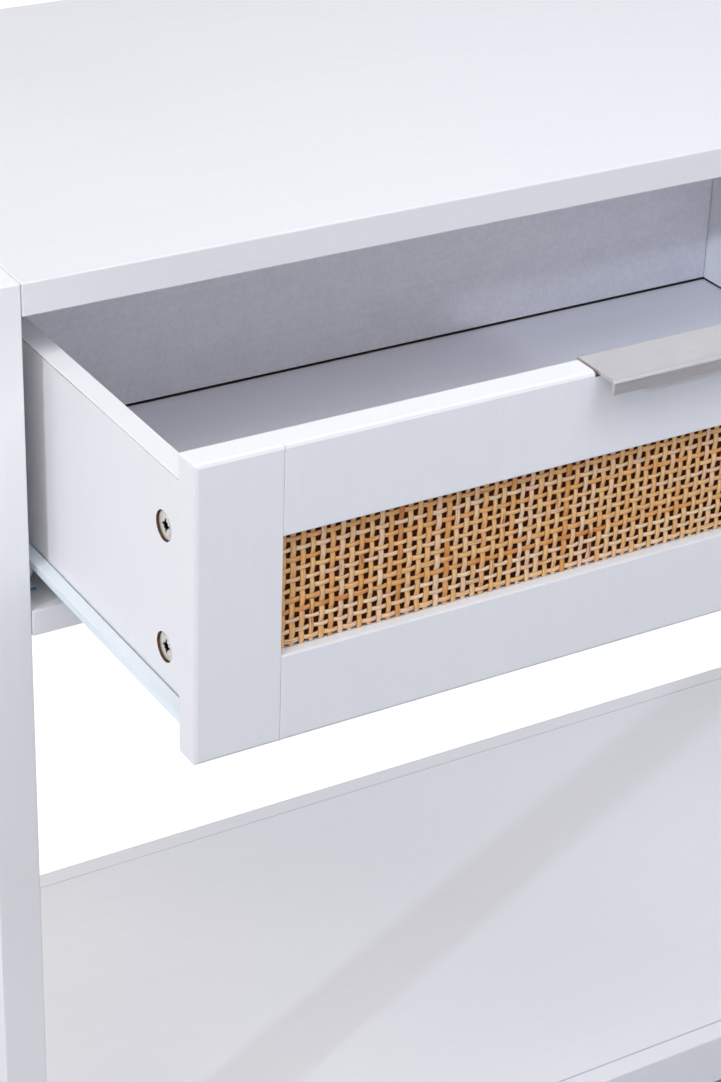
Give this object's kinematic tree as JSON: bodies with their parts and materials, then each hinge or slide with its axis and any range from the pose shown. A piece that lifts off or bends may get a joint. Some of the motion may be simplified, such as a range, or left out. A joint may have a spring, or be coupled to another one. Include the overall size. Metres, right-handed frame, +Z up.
{
  "type": "writing desk with drawers",
  "caption": "White laminate writing desk with cane-fronted drawers on roller slides and a low full-width shelf, stored with one drawer pulled out.",
  "frame": {"origin": "the floor, under the centre of the box round the desk as stored, with its left drawer pulled out", "axes": "+X to the right along the desk, +Y to its back, +Z up; the drawers open towards -Y"},
  "size_m": [1.215, 0.589, 0.76],
  "materials": {
    "white_laminate": "matt white laminate over particle board and fibreboard",
    "cane": "woven natural cane over a dark backing board",
    "brushed_nickel": "brushed nickel",
    "zinc": "die-cast zinc",
    "coated_steel": "white epoxy-coated steel",
    "nylon": "white nylon"
  },
  "bodies": {
    "desk": {"worktop": "white_laminate", "front_left_post": "white_laminate", "rear_left_post": "white_laminate", "front_right_post": "white_laminate", "rear_right_post": "white_laminate", "left_side_panel": "white_laminate", "right_side_panel": "white_laminate", "left_lower_rail": "white_laminate", "right_lower_rail": "white_laminate", "drawer_deck": "white_laminate", "rear_apron": "white_laminate", "centre_divider": "white_laminate", "shelf_panel": "white_laminate", "shelf_front_rail": "white_laminate", "shelf_rear_rail": "white_laminate", "left_bay_left_channel": "coated_steel", "left_bay_right_channel": "coated_steel", "right_bay_left_channel": "coated_steel", "right_bay_right_channel": "coated_steel"},
    "left_drawer": {"left_drawer_left_stile": "white_laminate", "left_drawer_right_stile": "white_laminate", "left_drawer_top_rail": "white_laminate", "left_drawer_bottom_rail": "white_laminate", "left_drawer_cane_panel": "cane", "left_drawer_left_side": "white_laminate", "left_drawer_right_side": "white_laminate", "left_drawer_back": "white_laminate", "left_drawer_bottom": "white_laminate", "left_drawer_left_lower_cam": "zinc", "left_drawer_left_upper_cam": "zinc", "left_drawer_right_lower_cam": "zinc", "left_drawer_right_upper_cam": "zinc", "left_drawer_handle": "brushed_nickel", "left_drawer_left_track": "coated_steel", "left_drawer_right_track": "coated_steel"},
    "left_bay_left_front_roller": {"left_bay_left_front_roller": "nylon"},
    "left_bay_right_front_roller": {"left_bay_right_front_roller": "nylon"},
    "left_drawer_left_rear_roller": {"left_drawer_left_rear_roller": "nylon"},
    "left_drawer_right_rear_roller": {"left_drawer_right_rear_roller": "nylon"},
    "right_drawer": {"right_drawer_left_stile": "white_laminate", "right_drawer_right_stile": "white_laminate", "right_drawer_top_rail": "white_laminate", "right_drawer_bottom_rail": "white_laminate", "right_drawer_cane_panel": "cane", "right_drawer_left_side": "white_laminate", "right_drawer_right_side": "white_laminate", "right_drawer_back": "white_laminate", "right_drawer_bottom": "white_laminate", "right_drawer_left_lower_cam": "zinc", "right_drawer_left_upper_cam": "zinc", "right_drawer_right_lower_cam": "zinc", "right_drawer_right_upper_cam": "zinc", "right_drawer_handle": "brushed_nickel", "right_drawer_left_track": "coated_steel", "right_drawer_right_track": "coated_steel"},
    "right_bay_left_front_roller": {"right_bay_left_front_roller": "nylon"},
    "right_bay_right_front_roller": {"right_bay_right_front_roller": "nylon"},
    "right_drawer_left_rear_roller": {"right_drawer_left_rear_roller": "nylon"},
    "right_drawer_right_rear_roller": {"right_drawer_right_rear_roller": "nylon"}
  },
  "joints": [
    {"name": "left_drawer_slide", "type": "slide", "parent": "desk", "child": "left_drawer", "axis": [0, -1, 0], "range_m": [-0.175, 0.045]},
    {"name": "left_bay_left_front_roller_spin", "type": "hinge", "parent": "desk", "child": "left_bay_left_front_roller", "pos_m": [-0.5739, -0.0769, 0.5889], "axis": [1, 0, 0], "range_deg": [-1131, 294]},
    {"name": "left_bay_right_front_roller_spin", "type": "hinge", "parent": "desk", "child": "left_bay_right_front_roller", "pos_m": [-0.0161, -0.0769, 0.5889], "axis": [1, 0, 0], "range_deg": [-1131, 294]},
    {"name": "left_drawer_left_rear_roller_spin", "type": "hinge", "parent": "left_drawer", "child": "left_drawer_left_rear_roller", "pos_m": [-0.5758, 0.0241, 0.5889], "axis": [1, 0, 0], "range_deg": [-1131, 294]},
    {"name": "left_drawer_right_rear_roller_spin", "type": "hinge", "parent": "left_drawer", "child": "left_drawer_right_rear_roller", "pos_m": [-0.0142, 0.0241, 0.5889], "axis": [1, 0, 0], "range_deg": [-1131, 294]},
    {"name": "right_drawer_slide", "type": "slide", "parent": "desk", "child": "right_drawer", "axis": [0, -1, 0], "range_m": [0, 0.22]},
    {"name": "right_bay_left_front_roller_spin", "type": "hinge", "parent": "desk", "child": "right_bay_left_front_roller", "pos_m": [0.0161, -0.0769, 0.5889], "axis": [1, 0, 0], "range_deg": [-4, 1421]},
    {"name": "right_bay_right_front_roller_spin", "type": "hinge", "parent": "desk", "child": "right_bay_right_front_roller", "pos_m": [0.5739, -0.0769, 0.5889], "axis": [1, 0, 0], "range_deg": [-4, 1421]},
    {"name": "right_drawer_left_rear_roller_spin", "type": "hinge", "parent": "right_drawer", "child": "right_drawer_left_rear_roller", "pos_m": [0.0142, 0.1991, 0.5889], "axis": [1, 0, 0], "range_deg": [-4, 1421]},
    {"name": "right_drawer_right_rear_roller_spin", "type": "hinge", "parent": "right_drawer", "child": "right_drawer_right_rear_roller", "pos_m": [0.5758, 0.1991, 0.5889], "axis": [1, 0, 0], "range_deg": [-4, 1421]}
  ],
  "couplings": [
    {"joint": "left_bay_left_front_roller_spin", "follows": "left_drawer_slide", "rad_per_m": 112.36},
    {"joint": "left_bay_right_front_roller_spin", "follows": "left_drawer_slide", "rad_per_m": 112.36},
    {"joint": "left_drawer_left_rear_roller_spin", "follows": "left_drawer_slide", "rad_per_m": 112.36},
    {"joint": "left_drawer_right_rear_roller_spin", "follows": "left_drawer_slide", "rad_per_m": 112.36},
    {"joint": "right_bay_left_front_roller_spin", "follows": "right_drawer_slide", "rad_per_m": 112.36},
    {"joint": "right_bay_right_front_roller_spin", "follows": "right_drawer_slide", "rad_per_m": 112.36},
    {"joint": "right_drawer_left_rear_roller_spin", "follows": "right_drawer_slide", "rad_per_m": 112.36},
    {"joint": "right_drawer_right_rear_roller_spin", "follows": "right_drawer_slide", "rad_per_m": 112.36}
  ]
}
